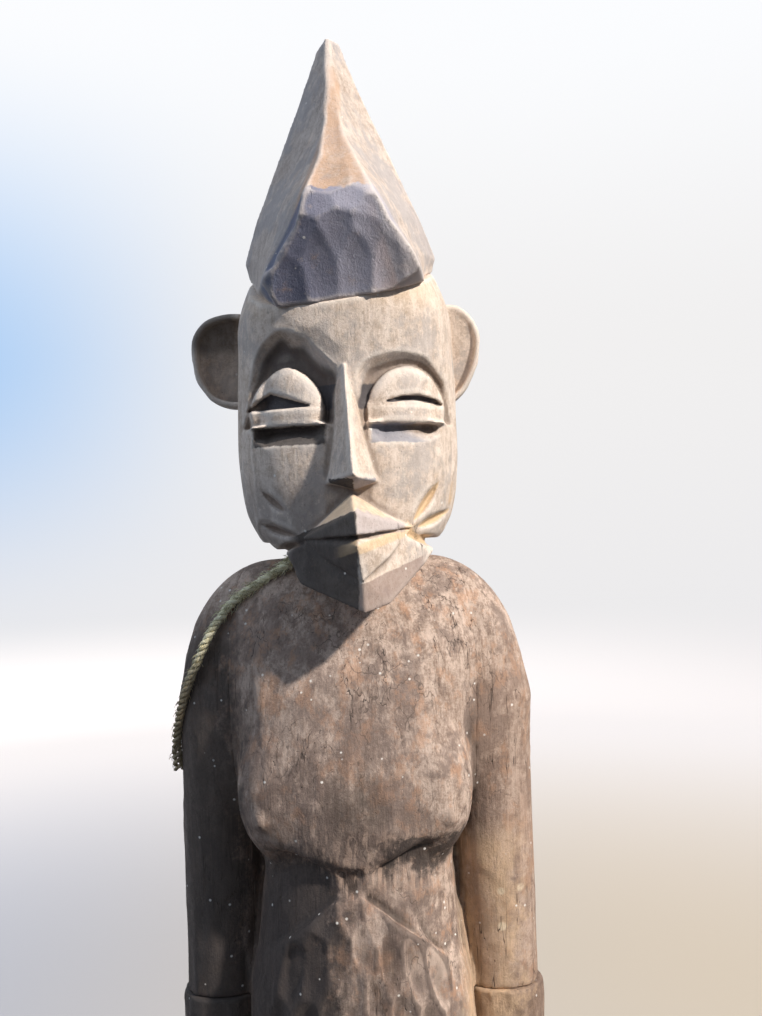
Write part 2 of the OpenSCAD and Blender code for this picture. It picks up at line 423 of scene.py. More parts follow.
def crest_form(c):
    z = c.z - PARTING
    front_half = line(z, [(-17, 19.5), (-9, 24.5), (-2, 20.5), (7, 13.4), (18, 8.9), (28, 5.6), (36, 3.9),
                          (44, 2.6), (61, 1.5), (78, 1.0)])
    middle_half = line(z, [(-17, 24), (-8, 29), (3.3, 31.8), (78, 3.2)])
    front = curve(z, [(-18, -37.5), (-8, -41), (2, -45.5), (11, -48.5), (16, -47), (24, -39.5),
                      (33, -32), (46, -22), (61, -13), (78, -6)])
    back = curve(z, [(-18, 38), (2, 36), (16, 30), (33, 22), (50, 14), (78, 5)])
    middle = (front + back) / 2 + 2
    x = np.abs(c.x + 0.02 * z * (z > 0) - 2.0 * np.clip((-12 - c.y) / 28, 0, 1))
    sides = []
    for end in (front, back):
        run = end - middle
        drop = middle_half - front_half
        length = np.sqrt(run ** 2 + drop ** 2)
        sides.append(((x - middle_half) * np.abs(run) + (c.y - middle) * np.sign(run) * drop) / length)
    form = np.maximum(np.maximum(sides[0], sides[1]), np.maximum(front - c.y, c.y - back))
    form = np.maximum(form, z - 77.2 - 0.35 * c.x) * 0.9
    # below the beak it flares out from the forehead
    flare = skull(c) - 1.7 - 1.15 * np.maximum(c.z - parting(c), 0)
    return np.where(c.y < 0, soft_max(form, flare * 0.8, 0.8), form)


def carve_crest(cell=0.7):
    c = Clay(*over("crest", spare=4), cell)
    c.keep(crest_form(c))
    up = (0, 0, 1)
    strokes = [(-21, -9, 0.3), (-13, -11, 0.1), (-4, -8, -0.1), (5, -8, 0.15), (13, -7, -0.2), (20, -5, -0.3),
               (-17, 0, 0.45), (-9, 1, 0.2), (0.5, 3, 0), (9, 2, -0.25), (15.5, 2, -0.4), (-12, 9, 0.5),
               (-4.5, 11, 0.2), (3.5, 12, -0.2), (10, 9, -0.5), (-1, 19, 0)]
    for x, z, lean in strokes:
        spot = c.hit((x, -75, PARTING + z), (0, 1, 0))
        if spot is not None:
            c.gouge(spot, (lean, 0, 1), rng.uniform(17, 22), rng.uniform(1.1, 1.4), rng.uniform(8, 10),
                    0.05 * x + rng.uniform(-0.5, 0.5), tilt=(0.013 * x + rng.uniform(-0.08, 0.08), 0, 0))
    for z in np.arange(19, 70, 6.5):
        spot = c.hit((rng.uniform(-1.5, 1.5), -75, PARTING + z), (0, 1, 0))
        if spot is not None:
            c.gouge(spot, up, 9, 0.35, 6, rng.uniform(-0.4, 0.6))
    for side in (RIGHT, LEFT):
        for _ in range(34):
            start = (side * 70, rng.uniform(-30, 26), PARTING + rng.uniform(0, 70))
            spot = c.hit(start, (-side, 0, 0))
            if spot is not None:
                c.gouge(spot, (0.2, 0, 1), 26, 0.28, 12, rng.uniform(-0.3, 0.3))
    c.trim(parting(c) - c.z)
    return c


BROW = {
    RIGHT: [(-33.5, 325), (-30.6, 331), (-28.8, 340.5), (-25.6, 350), (-18.3, 355.2), (-11.5, 353),
            (-5.8, 348), (0.4, 340.6), (1.6, 333), (1, 322), (-3, 312), (-16, 308), (-28, 312), (-33.5, 319)],
    LEFT: [(35, 324.5), (34, 332), (31.8, 340.4), (27.6, 345.4), (21, 347.4), (13, 346.8), (6.6, 343.8),
           (4, 338), (4.5, 331), (6, 321.5), (9, 312), (20, 308), (30, 312), (34.8, 318)],
}
LID = {
    RIGHT: [(-29.2, 331.2), (-27, 337.2), (-22.4, 342.2), (-16.6, 344.2), (-11.4, 342), (-7.6, 337.8),
            (-4.6, 331), (-4, 324), (-10, 312), (-24, 312), (-29.4, 324)],
    LEFT: [(7.2, 330.8), (9.6, 337), (14.4, 341.8), (20.8, 343.6), (26.2, 341.8), (30, 337), (32.2, 331),
           (32.2, 324), (27, 312), (13, 312), (7, 324)],
}
SLIT = {
    RIGHT: [(-31, 331.2), (-26.5, 334.4), (-22, 336.6), (-16, 334.4), (-8.5, 331.5), (-17, 331.1)],
    LEFT: [(12, 332), (18, 333.9), (24, 334.5), (29, 333.4), (32.6, 331.2), (22, 332.5)],
}
HOLLOW = {
    RIGHT: [(-28.6, 336), (-3.8, 336), (-4.6, 322.4), (-8, 320.2), (-24, 319.6), (-27.8, 321.8)],
    LEFT: [(7, 336), (31.6, 336), (30.2, 322.4), (27, 320.4), (12, 319.6), (8.6, 321.6)],
}
LID_EDGE = SHOULDER + 46.9   # where the lids meet
BAND_FOOT = SHOULDER + 41.5  # underside of the lower lids
SOCKET_DEPTH = {RIGHT: 5.0, LEFT: 4.0}


def eye_relief(c, side):
    """How far the face is cut back at an eye: a bevelled socket, a domed lid, a straight
    lower lid with a hollow under it, and a wedge-shaped slit."""
    inward = np.maximum(-outline(c, rounded(BROW[side])), 0)
    open_down = np.maximum(smooth_step(c.z, BAND_FOOT, BAND_FOOT + 1.6),
                           np.clip(-outline(c, HOLLOW[side]) / 4.6, 0, 1))
    depth = np.minimum(inward * 0.95, SOCKET_DEPTH[side] * open_down)
    lid = -outline(c, rounded(LID[side]))
    # below the slit the lower lid keeps the bulge that the dome has there
    level = np.clip(np.searchsorted(c.z[0, 0], LID_EDGE), 0, lid.shape[2] - 1)
    below = c.z < LID_EDGE
    lid = np.where(below, lid[:, :, level:level + 1], lid)
    t = np.clip(lid / 8, 0, 1)
    dome = smooth_step(lid, -0.35, 0.35) * (1.3 + 3.0 * np.sqrt(np.maximum(1 - (1 - t) ** 2, 0)))
    dome = dome * smooth_step(c.z, BAND_FOOT - 0.5, BAND_FOOT + 0.5)
    slit = smooth_step(-outline(c, SLIT[side]), -0.2, 0.9) * 3.1
    ledge = np.where(below, 0.35, 0) * smooth_step(lid, 0, 1)
    return depth - dome - ledge + slit


def nose(c):
    ridge_top, tip = (1.2, -37.4, 60), (3.2, -51.5, 26)
    return block(c, [ridge_top, tip, (4.4, -50.2, 25), (-4.9, -37.5, 24), (10.4, -37, 24),
                     (2.7, -35, 21.4), (-3.9, -27, 59), (5.4, -27, 59), (-9, -27, 23),
                     (14, -27, 23), (2.7, -27, 19)], SHOULDER)


def upper_lip(c):
    return block(c, [(-13.6, -34, 7), (20.6, -31.6, 9.8), (2.4, -39, 20.6), (3.4, -52.6, 15.2),
                     (3.9, -53.4, 8.4), (-13, -24, 7), (20, -24, 9.8), (2.4, -24, 21)], SHOULDER)


def lower_lip(c):
    return block(c, [(-13, -34, 6.8), (19.8, -31.6, 9.2), (3.7, -47, 9.4), (3.7, -52.2, 5.4),
                     (5.1, -47.6, -5.2), (-4, -42, 0.3), (13, -41.6, 1.4), (-12, -24, 6),
                     (18, -24, 8), (5, -24, -5)], SHOULDER)


def chin(c):
    return block(c, [(-19.4, -30, 3.4), (-14, -35, -6.4), (5.4, -45.6, -14.8), (12.8, -41.5, -12.6),
                     (27.4, -27, 2), (5, -46.4, -4.6), (-11, -36, 6), (17, -35, 8),
                     (-18, -17, 4), (27, -17, 3), (5, -20, -9), (-12, -20, 8), (18, -20, 9)], SHOULDER)


SCARS = [(20.4, 295.2, 29.8, 308.4, 2.0), (21.4, 293.4, 33, 299, 2.0), (22.4, 291.2, 29.8, 287.4, 2.2),
         (-17.4, 299, -27.4, 307.4, 1.7), (-13.6, 291.6, -27, 296, 1.9), (-13.8, 289.8, -22.6, 286.6, 2.3)]


def scars(c):
    """How far the cheeks are cut back at three leaf-shaped cuts by each mouth corner."""
    total = 0
    for x0, z0, x1, z1, width in SCARS:
        run = np.array((x1 - x0, z1 - z0))
        t = ((c.x - x0) * run[0] + (c.z - z0) * run[1]) / np.dot(run, run)
        leaf = width * np.maximum(np.sin(math.pi * np.clip(t, 0, 1)), 0) ** 0.8
        off = np.hypot(c.x - x0 - t * run[0], c.z - z0 - t * run[1])
        total = total + np.maximum(leaf - off, 0) * 1.15
    return np.where(c.y < -8, total, 0)


def skull(c):
    z = c.z - SHOULDER
    half = curve(z, [(0, 12), (1.6, 20.5), (3.5, 25.5), (7, 29.4), (12, 32.6), (19, 34.6), (27, 35.7),
                     (51, 35.9), (66, 35.4), (78, 34.6), (85, 32.4), (92, 29), (98, 24)])
    front = curve(z, [(0, -31), (6, -34), (20, -36), (60, -36), (80, -37), (98, -35)])
    back = curve(z, [(0, 20), (8, 25), (24, 31), (60, 35), (80, 34), (98, 26)])
    return loft(c, half, front, back, HEAD_MIDDLE, front_power=2.4, back_power=2.4)


def head_form(c):
    head = np.maximum(skull(c), SHOULDER + 1.2 - c.z)
    relief = eye_relief(c, RIGHT) + eye_relief(c, LEFT)
    brow_bevel = outline(c, [(-13, 356), (-6.5, 355), (1.4, 348.5), (3.4, 342), (-5, 334), (-17, 345)])
    relief = relief + np.minimum(np.maximum(-brow_bevel, 0) * 0.22, 0.9) + scars(c)
    head = head + np.where(c.y < -6, relief, 0)
    head = soft_min(head, nose(c), 0.5)
    head = soft_min(head, chin(c), 0.4)
    lips = soft_min(upper_lip(c), lower_lip(c), 0.25)
    return soft_min(head, lips, 0.4)


def carve_head(cell=0.6):
    c = Clay(*over("head", spare=5), cell)
    c.keep(head_form(c))
    facet_round(c, heights=(SHOULDER + 8, SHOULDER + 88), rows=8, columns=15, radius=30, bite=0.3,
                half=11, centre=(HEAD_MIDDLE, 0), reach=(-50, 230))
    c.trim(c.z - parting(c))
    neck_gap = np.maximum(c.z - NECK_TOP, -18 - c.y)
    c.trim(-neck_gap)
    return c


def facet_round(c, heights, rows, columns, radius, bite, half, centre, reach=(0, 360), tone=0.35,
                along=(0, 0, 1)):
    """Light gouge strokes all round an upright member. Angles count from +X."""
    for row in range(rows):
        for column in range(columns):
            angle = math.radians(reach[0] + (reach[1] - reach[0]) * (column + rng.uniform(0, 0.9)) / columns)
            height = heights[0] + (heights[1] - heights[0]) * (row + rng.uniform(0, 0.9)) / rows
            way = np.array((math.cos(angle), math.sin(angle), 0))
            spot = c.hit(np.array((*centre, height)) + 90 * way, -way)
            if spot is not None:
                c.gouge(spot, along, radius, bite * rng.uniform(0.6, 1.2), half, tone * rng.uniform(-1, 1))


def carve_ear(side, cell=0.6):
    c = Clay(*over(f"{SIDES[side]}_ear", spare=4), cell)
    if side == RIGHT:
        shell = [(-32, 366), (-39, 366), (-46, 363.6), (-49.6, 359), (-50.4, 352), (-49, 344), (-44.6, 337.6),
                 (-38, 335), (-32, 335.4)]
    else:
        shell = [(33, 367), (38, 366.6), (43, 362.6), (45.6, 356.6), (45.4, 350), (43, 342.6), (39.4, 337),
                 (36, 334.6), (33, 334.6)]
    rim = outline(c, rounded(shell))
    middle = 4
    # the rim is turned forward, more at the top
    form = soft_max(rim, np.abs(c.y - middle) - 5.8, 1.4)
    floor = middle + (2.2 if side == RIGHT else -3.8)
    bowl = soft_max(rim + 1.9, c.y - floor + 0.12 * (c.z - 350), 1.0)
    form = soft_max(form, -bowl, 0.9)
    c.keep(soft_max(form, 33.4 - c.x * side, 0.2))
    for _ in range(14):
        spot = c.hit((side * 70, middle + rng.uniform(-5, 5), 350 + rng.uniform(-13, 13)), (-side, 0, 0))
        if spot is not None:
            c.gouge(spot, (0, 0, 1), 12, 0.3, 6, rng.uniform(-0.3, 0.3))
    return c


# ---------------------------------------------------------------- torso and arms

SEAM_X = 35
SEAM_LAP = 0.35  # torso and arm each run this far past the seam, so no groove shows
ARM_Y = 6
SEAM_TURN = math.radians(19)


def beyond_seam(c, side):
    """Distance past the joint between torso and arm, positive on the arm's side."""
    return (c.x * side - SEAM_X) * math.cos(SEAM_TURN) + c.y * math.sin(SEAM_TURN)


def body_form(c):
    """Torso, shoulders and arms as one form, before it is parted at the seams."""
    z = c.z - SHOULDER
    half = curve(z, [(-172, 34.2), (-154, 37), (-139, 36.4), (-126, 34), (-112, 32.3), (-96, 31.6),
                     (-85, 34.6), (-76, 36.6), (-57, 38.2), (-38, 41.4), (-24, 42), (-12, 37), (-4, 29),
                     (0.5, 18)])
    back = curve(z, [(-172, 23), (-154, 27), (-134, 24), (-112, 18), (-84, 20), (-49, 23), (-29, 21),
                     (-12, 15), (-3, 9), (0.5, 6)])
    waist = curve(z, [(-172, -20), (-150, -26.5), (-126, -29), (-110, -29), (-90, -28.4), (-70, -27),
                      (-40, -24), (-20, -16), (-4, -9), (0.5, -6)])
    chest = curve(z, [(-110, -30.5), (-100, -31.4), (-92, -33.4), (-80, -36), (-66, -35.4), (-48, -31.5),
                      (-34, -27.5), (-22, -22.5), (-12, -17), (-4, -11), (0.5, -7)])
    belly = curve(z, [(-172, -21), (-160, -27.5), (-146, -32.4), (-130, -34), (-116, -33.8), (-98, -32.2)])
    core = loft(c, half, waist, back, front_power=2.6)
    away = np.abs(c.x + 2)
    breast_line = line(away, [(0, -98), (12, -92.5), (22, -87), (33, -82.5)])
    belly_line = line(away, [(0, -100.5), (9, -107), (17, -113.5), (26, -121), (34, -128)])
    bosom = soft_max(loft(c, half + 0.3, chest, back, front_power=2.5), breast_line - z,
                     1.8 + 3 * smooth_step(away, 16, 4))
    paunch = soft_max(loft(c, half + 0.3, belly, back, front_power=2.4), z - belly_line, 1.4)
    torso = soft_min(soft_min(core, bosom, 0.8), paunch, 0.8)
    torso = soft_min(torso, egg(c, (-1, -24.4, SHOULDER - 95), (9.5, 7.9, 12)), 3)
    torso = np.maximum(torso, z + 0.2)
    form = torso
    for side in (RIGHT, LEFT):
        shoulder = egg(c, (side * 25, 2, SHOULDER - 45), (32.5, 17.5, 45))
        arm = stick(c, (side * 44.6, 4, SHOULDER - 50), (side * 46.8, ARM_Y, WRIST - 12), 14.0, 12.6)
        arm = soft_min(shoulder, arm, 5)
        form = soft_min(form, arm, 3.0)
        breast = egg(c, (side * 25, -19.5, SHOULDER - 73), (12, 11, 20))
        form = soft_min(form, breast, 6)
        nipple = egg(c, (side * 28.6, -28.6, SHOULDER - 79), (2.8, 2.8, 3.4))
        form = soft_min(form, nipple, 1.6)
    neck = np.maximum(np.hypot(c.x, c.y - 3) - 17, z - 6)
    return soft_min(form, np.maximum(neck, -30 - z), 3.5)


def carve_body(cell=0.85):
    """Torso and arms are worked as one, so that the surface runs on over the seams."""
    c = Clay(*over("torso", "right_arm", "left_arm", spare=4), cell)
    c.keep(body_form(c))
    facet_round(c, heights=(HIP + 58, SHOULDER - 8), rows=10, columns=20, radius=30, bite=0.3, half=14,
                centre=(0, 0), reach=(0, 360), tone=0.5)
    facet_round(c, heights=(HIP + 2, HIP + 56), rows=5, columns=24, radius=14, bite=0.6, half=11,
                centre=(0, 0), tone=0.8)
    for row, z in enumerate((-110, -124, -138, -152, -164)):
        for x in np.arange(-27, 28, 8.2) + 4.1 * (row % 2):
            start = (x + rng.uniform(-1, 1), -80, SHOULDER + z - 0.45 * abs(x) + rng.uniform(-2, 2))
            spot = c.hit(start, (0, 1, 0))
            if spot is not None and (row > 0 or abs(x) < 12):
                c.gouge(spot, (-0.012 * x, 0, 1), 6.6, 1.35, 9, rng.uniform(-3.4, 3), tilt=(0.1, 0, 0.14))
    for side in (RIGHT, LEFT):
        facet_round(c, heights=(WRIST, SHOULDER - 12), rows=11, columns=9, radius=19, bite=0.28, half=15,
                    centre=(side * WRIST_X, ARM_Y), reach=(-100, 100) if side == LEFT else (80, 280),
                    tone=0.6)
    return c


def parted(c, cut):
    """The part of some clay on one side of a cut."""
    piece = copy.copy(c)
    piece.d = np.maximum(c.d, cut).astype(np.float32)
    return piece


def torso_cut(c):
    cut = HIP + 0.05 - c.z
    for side in (RIGHT, LEFT):
        cuff_room = np.maximum(np.hypot(c.x - side * WRIST_X, c.y - ARM_Y) - 14.3, c.z - WRIST - 0.3)
        cut = np.maximum(cut, np.maximum(beyond_seam(c, side) - SEAM_LAP, -cuff_room))
    return cut


def arm_cut(c, side):
    return np.maximum(-SEAM_LAP - beyond_seam(c, side), WRIST + 0.05 - c.z)


def carve_cuff(side, cell=0.6):
    c = Clay(*over(f"{SIDES[side]}_cuff", spare=3), cell)
    round_out = np.hypot(c.x - side * WRIST_X, c.y - ARM_Y)
    belly = 0.5 * np.cos((c.z - CUFF_FOOT - 8) / 16 * math.pi)
    ring = soft_max(round_out - 13.5 - belly, np.abs(c.z - CUFF_FOOT - 8) - 7.9, 1.4)
    c.keep(ring)
    facet_round(c, heights=(CUFF_FOOT + 3, WRIST - 3), rows=2, columns=11, radius=14, bite=0.5, half=6,
                centre=(side * WRIST_X, ARM_Y), tone=0.6)
    c.trim(np.abs(c.z - CUFF_FOOT - 8) - 7.95)
    return c


def carve_hand(side, cell=0.6):
    low, high = over(f"{SIDES[side]}_hand", spare=3)
    high[2] = CUFF_FOOT + 2
    c = Clay(low, high, cell)
    x = side * WRIST_X
    y0 = ARM_Y - 2
    palm = egg(c, (x, y0 + 1, CUFF_FOOT - 15), (6.8, 11.5, 14))
    wrist = stick(c, (x, y0 + 2, CUFF_FOOT + 4), (x, y0 + 1.5, CUFF_FOOT - 9), 9.2, 7)
    form = soft_min(palm, wrist, 4)
    for n, y in enumerate((-8.4, -3.6, 1.2, 5.6)):
        tip = HAND_FOOT + (3.4, 2.6, 3, 5)[n]
        finger = stick(c, (x + side * 0.6, y0 + y * 0.85, CUFF_FOOT - 16),
                       (x - side * 1.2, y0 + y - 1.5, tip), 3.3, 2.5)
        form = soft_min(form, finger, 0.9)
    thumb = stick(c, (x - side * 1.5, y0 - 7.5, CUFF_FOOT - 10), (x - side * 3.2, y0 - 12, CUFF_FOOT - 23),
                  3, 2.4)
    form = soft_min(form, thumb, 1)
    c.keep(np.maximum(form, c.z - CUFF_FOOT + 0.05))
    facet_round(c, heights=(HAND_FOOT + 10, CUFF_FOOT - 4), rows=3, columns=8, radius=12, bite=0.3, half=7,
                centre=(x, ARM_Y))
    return c


# ---------------------------------------------------------------- legs and base


def leg_form(c, side):
    x = side * LEG_X
    thigh = soft_min(egg(c, (x - side * 1.5, -1, HIP - 8), (15.8, 20, 24)),
                     stick(c, (x, -3, HIP - 20), (x, -9, BASE_TOP + 50), 16.5, 13.5), 5)
    knee = egg(c, (x, -10.5, BASE_TOP + 50), (13.6, 13.5, 13))
    calf = egg(c, (x, 7, BASE_TOP + 32), (12.6, 13, 19))
    shin = stick(c, (x, -5, BASE_TOP + 45), (x, 4, BASE_TOP + 8), 12, 9.4)
    leg = soft_min(soft_min(thigh, knee, 3), soft_min(calf, shin, 4), 3.5)
    foot = block(c, [(x - 9, 16, -2), (x + 9, 16, -2), (x - 8, 15, 9),
                     (x + 8, 15, 9), (x + side * 1 - 11, -32, -2),
                     (x + side * 3 + 11, -32, -2), (x - 9, -36, 2),
                     (x + side * 2 + 9, -35, 2), (x - 6, -8, 14), (x + 6, -8, 14),
                     (x - 8, -30, 6.5), (x + side * 2 + 8, -30, 6.5)], BASE_TOP) - 1.2
    leg = soft_min(leg, foot, 3)
    for n in range(4):
        toe = x + side * 1.2 + (n - 1.5) * 4.6
        groove = stick(c, (toe, -40, BASE_TOP + 5.5), (toe, -25, BASE_TOP + 8.6), 1.1, 0.3)
        leg = soft_max(leg, -groove, 0.6)
    return leg


def carve_leg(side, cell=0.95):
    c = Clay(*over(f"{SIDES[side]}_leg", spare=5), cell)
    c.keep(leg_form(c, side))
    facet_round(c, heights=(BASE_TOP + 12, HIP - 3), rows=8, columns=10, radius=15, bite=0.5, half=12,
                centre=(side * LEG_X, -2), tone=0.5)
    c.trim(c.z - HIP + 0.05)
    c.trim(BASE_TOP + 0.05 - c.z)
    c.trim(1.6 - c.x * side)
    return c


def carve_base(cell=1.1):
    c = Clay(*over("base", spare=4), cell)
    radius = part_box("base")[1][0] / MM
    out = np.hypot(c.x, c.y)
    wobble = 0.5 * np.sin(3 * np.arctan2(c.y, c.x) + 0.6) + 0.4 * np.sin(7 * np.arctan2(c.y, c.x))
    rim = out - radius + 0.9 - wobble + 0.08 * (c.z - BASE_TOP / 2)
    c.keep(soft_max(rim, c.z - BASE_TOP, 2.2))
    for _ in range(70):
        angle = rng.uniform(0, 2 * math.pi)
        way = np.array((math.cos(angle), math.sin(angle), 0))
        spot = c.hit(way * 90 + (0, 0, rng.uniform(3, BASE_TOP - 1)), -way)
        if spot is not None:
            c.gouge(spot, (-way[1], way[0], rng.uniform(-0.3, 0.3)), 16, 0.6, 8, rng.uniform(-0.6, 0.6))
    for _ in range(90):
        radius_at, angle = 62 * math.sqrt(rng.uniform(0, 1)), rng.uniform(0, 2 * math.pi)
        spot = c.hit((radius_at * math.cos(angle), radius_at * math.sin(angle), 60), (0, 0, -1))
        if spot is not None and abs(spot[2] - BASE_TOP) < 2:
            c.gouge(spot, (1, rng.uniform(-0.3, 0.3), 0), 26, 0.4, 11, rng.uniform(-0.4, 0.4))
    c.trim(0.02 - c.z)
    return c


# ---------------------------------------------------------------- cord of twisted fibre

LOOP_CENTRE = (0, 3, SHOULDER + 1.8)
LOOP_RADIUS = 18.8
TAIL = [(-15.5, -12.5, 286.5), (-19.5, -10.5, 283.5), (-23.5, -9, 280.5), (-28.5, -9.5, 277.5),
        (-34, -10.5, 274), (-38, -10.5, 271), (-41.5, -11, 267), (-44.5, -11, 263), (-47.5, -11, 257.5),
        (-50, -10.5, 252), (-53, -9, 246), (-55, -7.5, 240.5), (-57, -5.5, 234.5), (-58.5, -3, 229),
        (-59.5, 0, 222), (-59.5, 2, 215)]


def spread(points, gap):
    """Points along a path at even gaps, through a smooth curve."""
    points = np.array(points, float)
    run = np.concatenate([[0], np.cumsum(np.linalg.norm(np.diff(points, axis=0), axis=1))])
    steps = np.linspace(0, run[-1], max(2, round(run[-1] / gap)))
    smooth = [np.asarray(curve_through(steps, run, points[:, n])) for n in range(3)]
    return np.stack(smooth, axis=1)


def curve_through(t, knots, values):
    slopes = np.gradient(values, knots)
    n = np.clip(np.searchsorted(knots, t, side="right") - 1, 0, len(knots) - 2)
    h = knots[n + 1] - knots[n]
    u = (t - knots[n]) / h
    a, b = values[n], values[n + 1]
    blend = (2 * u ** 3 - 3 * u ** 2 + 1) * a + (3 * u ** 2 - 2 * u ** 3) * b
    return blend + ((u ** 3 - 2 * u ** 2 + u) * slopes[n] + (u ** 3 - u ** 2) * slopes[n + 1]) * h


def frames(path, closed=False):
    """A sideways and an upward direction at each point, square to the path."""
    if closed:
        ahead = np.roll(path, -1, 0) - np.roll(path, 1, 0)
    else:
        ahead = np.gradient(path, axis=0)
    ahead /= np.linalg.norm(ahead, axis=1)[:, None]
    side = np.cross(ahead, (0, 0, 1.0))
    side /= np.linalg.norm(side, axis=1)[:, None]
    return side, np.cross(ahead, side)


class Strands:
    """Tubes gathered into one mesh."""

    def __init__(self):
        self.verts, self.faces, self.tones, self.size = [], [], [], 0

    def tube(self, path, radius, sides=7, closed=False, tone=0.0, flat=1.0):
        path = np.asarray(path, float)
        side, up = frames(path, closed)
        radius = np.broadcast_to(radius, len(path))
        angle = 2 * math.pi * np.arange(sides) / sides
        cosines, sines = (f(angle)[None, :, None] for f in (np.cos, np.sin))
        ring = side[:, None] * cosines + up[:, None] * sines * flat
        points = path[:, None] + ring * radius[:, None, None]
        rows = len(path)
        for i in range(rows if closed else rows - 1):
            j = (i + 1) % rows
            for k in range(sides):
                m = (k + 1) % sides
                around = (i * sides + k, i * sides + m, j * sides + m, j * sides + k)
                self.faces.append([self.size + n for n in around])
        if not closed:
            self.faces.append([self.size + k for k in range(sides)][::-1])
            self.faces.append([self.size + (rows - 1) * sides + k for k in range(sides)])
        self.verts.append(points.reshape(-1, 3))
        self.tones.append(np.full(rows * sides, tone))
        self.size += rows * sides

    def rope(self, path, lay, offset, radius, closed=False, turns_per_mm=0.16, strands=3):
        """Strands twisted round a path. lay and radius may change along it."""
        side, up = frames(path, closed)
        gaps = np.linalg.norm(np.diff(path, axis=0), axis=1)
        run = np.concatenate([[0], np.cumsum(gaps)])
        whole = run[-1] + (np.linalg.norm(path[0] - path[-1]) if closed else 0)
        turns = turns_per_mm * whole
        if closed:
            turns = round(turns)
        for k in range(strands):
            twist = 2 * math.pi * (k / strands + turns * run / whole) + lay
            swing = side * np.cos(twist)[:, None] + up * np.sin(twist)[:, None]
            wander = 1 + 0.16 * np.sin(run * (0.9 + 0.2 * k) + k * 2) * (0 if closed else 1)
            self.tube(path + swing * (offset * wander)[:, None], radius, closed=closed,
                      tone=rng.uniform(-1, 1))

    def hairs(self, path, count, reach, thickness=0.15):
        """Loose fibres that stand off the cord."""
        side, up = frames(path)
        for _ in range(count):
            n = rng.integers(1, len(path) - 4)
            angle = rng.uniform(0, 2 * math.pi)
            out = side[n] * math.cos(angle) + up[n] * math.sin(angle)
            far = rng.uniform(0.6, 1.0) * reach
            end = min(n + rng.integers(2, 5), len(path) - 1)
            start = path[n] + out * 0.9
            tip = path[end] + out * far
            bend = (start + tip) / 2 + out * 0.3 + rng.normal(0, 0.25, 3)
            self.tube(np.array([start, bend, tip]), np.array([1, 0.8, 0.3]) * thickness, sides=3,
                      tone=rng.uniform(-1, 1))

    def piece(self, name, material):
        mesh = bpy.data.meshes.new(name)
        mesh.from_pydata(np.concatenate(self.verts) * MM, [], self.faces)
        mesh.polygons.foreach_set("use_smooth", np.ones(len(mesh.polygons), bool))
        add_map(mesh, "tone", np.concatenate(self.tones))
        mesh.materials.append(material)
        return add_object(name, mesh)


def add_neck_cord(material):
    angle = np.linspace(0, 2 * math.pi, 150, endpoint=False)
    ring = np.stack([LOOP_RADIUS * np.cos(angle), LOOP_RADIUS * np.sin(angle), 0 * angle],
                    axis=1) + LOOP_CENTRE
    cord = Strands()
    cord.rope(ring, 0.4, np.full(len(ring), 0.78), 0.8, closed=True)
    start = np.array(TAIL[0], float)
    turn = np.linspace(-0.3, 2 * math.pi + 0.6, 40)
    knot = start + np.stack([1.7 * np.cos(turn), 1.1 * np.sin(turn) - 0.4 + 0.3 * turn / 6,
                             1.7 * np.sin(turn)], axis=1)
    cord.tube(knot, 0.85, tone=0.2)
    piece = cord.piece("fibre_neck_cord", material)
    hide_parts("neck_cord")
    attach(piece, "root")


def add_tail(material):
    path = spread(TAIL, 0.8)
    run = np.linspace(0, 1, len(path))
    cord = Strands()
    slim = np.interp(run, [0, 0.7, 1], [1, 0.95, 0.72])
    offset = np.interp(run, [0, 0.6, 0.85, 1], [0.76, 0.78, 0.9, 1.35])
    cord.rope(path, 0.0, offset, 0.82 * slim, turns_per_mm=0.15)
    cord.hairs(path, 240, 2.6)
    cord.hairs(path[:45], 160, 2.9)
    tail_end = path[-14:]
    cord.hairs(tail_end, 40, 3.1)
    piece = cord.piece("fibre_cord_tail", material)
    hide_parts("cord_tail")
    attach(piece, "root")


# ---------------------------------------------------------------- materials


